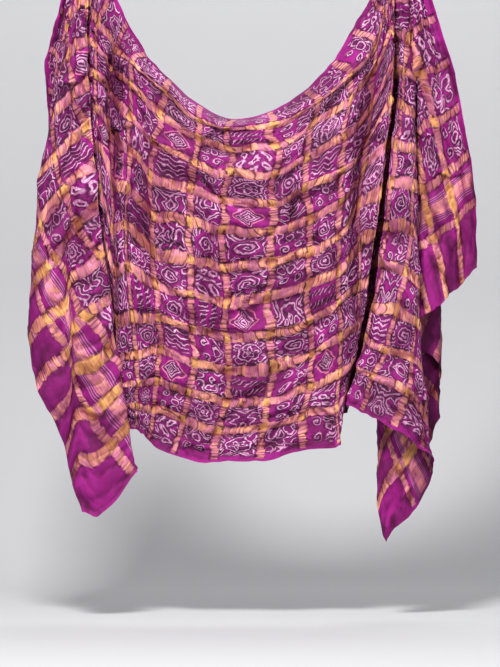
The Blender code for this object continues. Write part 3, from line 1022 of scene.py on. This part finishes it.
# painted shade: darker in hollows behind the cloth beside them, in valleys of the crinkle and on some
# pieces of the crumple
crumple_shade = ramp(wide_shade, 0.15, 0.75, 0.46, 1.0) * ramp(fine_shade, 0.1, 0.8, 0.62, 1.0)
open_light = ramp(attribute("hollow_shade"), 0.35, 1.0, 1.0, 0.30)
lit = crumple_shade * open_light * (1.0 - attribute("valley_shade") * 0.95)
colour = blend(1.0 - lit, colour, SHADOW, "MULTIPLY")
# painted shade: each piece of a long band a little lighter or darker, as if tilted to the light
colour = shade(colour, 0.95 + (piece_tone - 0.6) * only_l * 0.34)
dye_tone = 0.92 + dye_patch * 0.28
thread_tone = 0.90 + thread * 0.20 + (thread - 0.5) * gold * 0.7
colour = shade(colour, dye_tone * thread_tone)

# ---------------------------------------------------------------- material: relief and shader
WEAVE = 420.0                # radians a square, so about 67 threads
RELIEF = 0.0024              # metres for a height of 1
SPECULAR = 0.22
ROUGH, ROUGH_LESS = 0.66, 0.22    # plain cloth, and how much smoother the gold is
METAL = 0.15                 # how metallic the gold is

weave = op("SINE", u * WEAVE) * op("SINE", t * WEAVE)
crumple = grain(u, t, 5.0, 1.0) * 0.5 - wide_gap - fine_gap * 0.7
saw = fract(pleat)
rise_l = ramp(saw, 0.0, 0.18) * (1.0 - saw) * hard_l * only_l
rise_w = ramp(crease_w, 0.0, 0.35) * hard_w * only_w
relief = rise_l * 0.6 + rise_w * 0.5 + crumple + weave * 0.03 + ink * 0.2
relief = relief - shaded_seam * 0.5 + (thread - 0.5) * gold * 0.2

shader = tree.nodes.new("ShaderNodeBsdfPrincipled")
shader.inputs["Specular IOR Level"].default_value = SPECULAR
feed(shader.inputs["Roughness"], ROUGH - gold * ROUGH_LESS)
feed(shader.inputs["Metallic"], gold * METAL)
feed(shader.inputs["Base Color"], colour)
bump = tree.nodes.new("ShaderNodeBump")
bump.inputs["Strength"].default_value = 1.0
bump.inputs["Distance"].default_value = RELIEF
feed(bump.inputs["Height"], relief)
tree.links.new(bump.outputs[0], shader.inputs["Normal"])
out = tree.nodes.new("ShaderNodeOutputMaterial")
tree.links.new(shader.outputs[0], out.inputs[0])
mesh.materials.append(fabric)

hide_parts("cloth")
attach(cloth, "root")

# ---------------------------------------------------------------- floor and light
FLOOR_Z, WALL_Y, SWEEP = -1.34, 1.6, 0.7    # metres: floor, wall, and the sweep between them
FLOOR_FRONT, FLOOR_SIDE, WALL_TOP = -9.0, 8.0, 5.0
SWEEP_STEPS = 16
FLOOR_COLOUR = (0.56, 0.56, 0.57, 1)
FLOOR_ROUGH = 0.9
SKY = (0.9, 0.93, 1.0, 1.0)
SKY_STRENGTH = 0.28
# name, place, point that it lights, size in metres, power in watts
LIGHTS = (
    ("key", (-0.45, -2.4, 1.6), (0.0, 0.0, -0.6), 0.6, 152.0),
    ("fill", (2.2, -2.8, -0.1), (0.0, 0.0, -0.7), 2.0, 20.0),
    ("back", (0.4, 1.3, 1.2), (0.0, 0.0, -0.6), 1.6, 26.0),
)


def floor_material():
    """Pale and matt, and clear from behind."""
    pale = bpy.data.materials.new("floor")
    pale.use_nodes = True
    nodes, links = pale.node_tree.nodes, pale.node_tree.links
    matt = nodes["Principled BSDF"]
    matt.inputs["Base Color"].default_value = FLOOR_COLOUR
    matt.inputs["Roughness"].default_value = FLOOR_ROUGH
    side = nodes.new("ShaderNodeNewGeometry")
    clear = nodes.new("ShaderNodeBsdfTransparent")
    mix = nodes.new("ShaderNodeMixShader")
    links.new(side.outputs["Backfacing"], mix.inputs[0])
    links.new(matt.outputs[0], mix.inputs[1])
    links.new(clear.outputs[0], mix.inputs[2])
    links.new(mix.outputs[0], nodes["Material Output"].inputs[0])
    return pale


def build_stage():
    """Pale floor that sweeps up into a wall behind the cloth."""
    profile = [(FLOOR_FRONT, FLOOR_Z), (WALL_Y - SWEEP, FLOOR_Z)]
    for i in range(1, SWEEP_STEPS + 1):
        a = math.radians(90.0 * i / SWEEP_STEPS)
        y = WALL_Y - SWEEP + SWEEP * math.sin(a)
        profile.append((y, FLOOR_Z + SWEEP * (1.0 - math.cos(a))))
    profile.append((WALL_Y, WALL_TOP))
    verts = [(x, y, z) for x in (-FLOOR_SIDE, FLOOR_SIDE) for y, z in profile]
    count = len(profile)
    faces = [(i, count + i, count + i + 1, i + 1) for i in range(count - 1)]
    data = bpy.data.meshes.new("floor")
    data.from_pydata(verts, [], faces)
    data.polygons.foreach_set("use_smooth", [True] * len(data.polygons))
    data.update()
    obj = bpy.data.objects.new("floor", data)
    bpy.context.scene.collection.objects.link(obj)
    data.materials.append(floor_material())


def area_light(name, place, aim, size, power):
    """Square light that points at its aim."""
    data = bpy.data.lights.new(name, "AREA")
    data.size = size
    data.energy = power
    obj = bpy.data.objects.new(name, data)
    obj.location = place
    away = np.array(place) - np.array(aim)
    level = math.hypot(away[0], away[1])
    obj.rotation_euler = (math.atan2(level, away[2]), 0.0, math.atan2(away[0], -away[1]))
    bpy.context.scene.collection.objects.link(obj)


def build_world():
    """Faint even light from all sides, and colours shown as they are."""
    world = bpy.data.worlds.new("studio")
    world.use_nodes = True
    background = world.node_tree.nodes["Background"]
    background.inputs["Color"].default_value = SKY
    background.inputs["Strength"].default_value = SKY_STRENGTH
    bpy.context.scene.world = world
    bpy.context.scene.view_settings.view_transform = "Standard"


build_stage()
for light in LIGHTS:
    area_light(*light)
build_world()
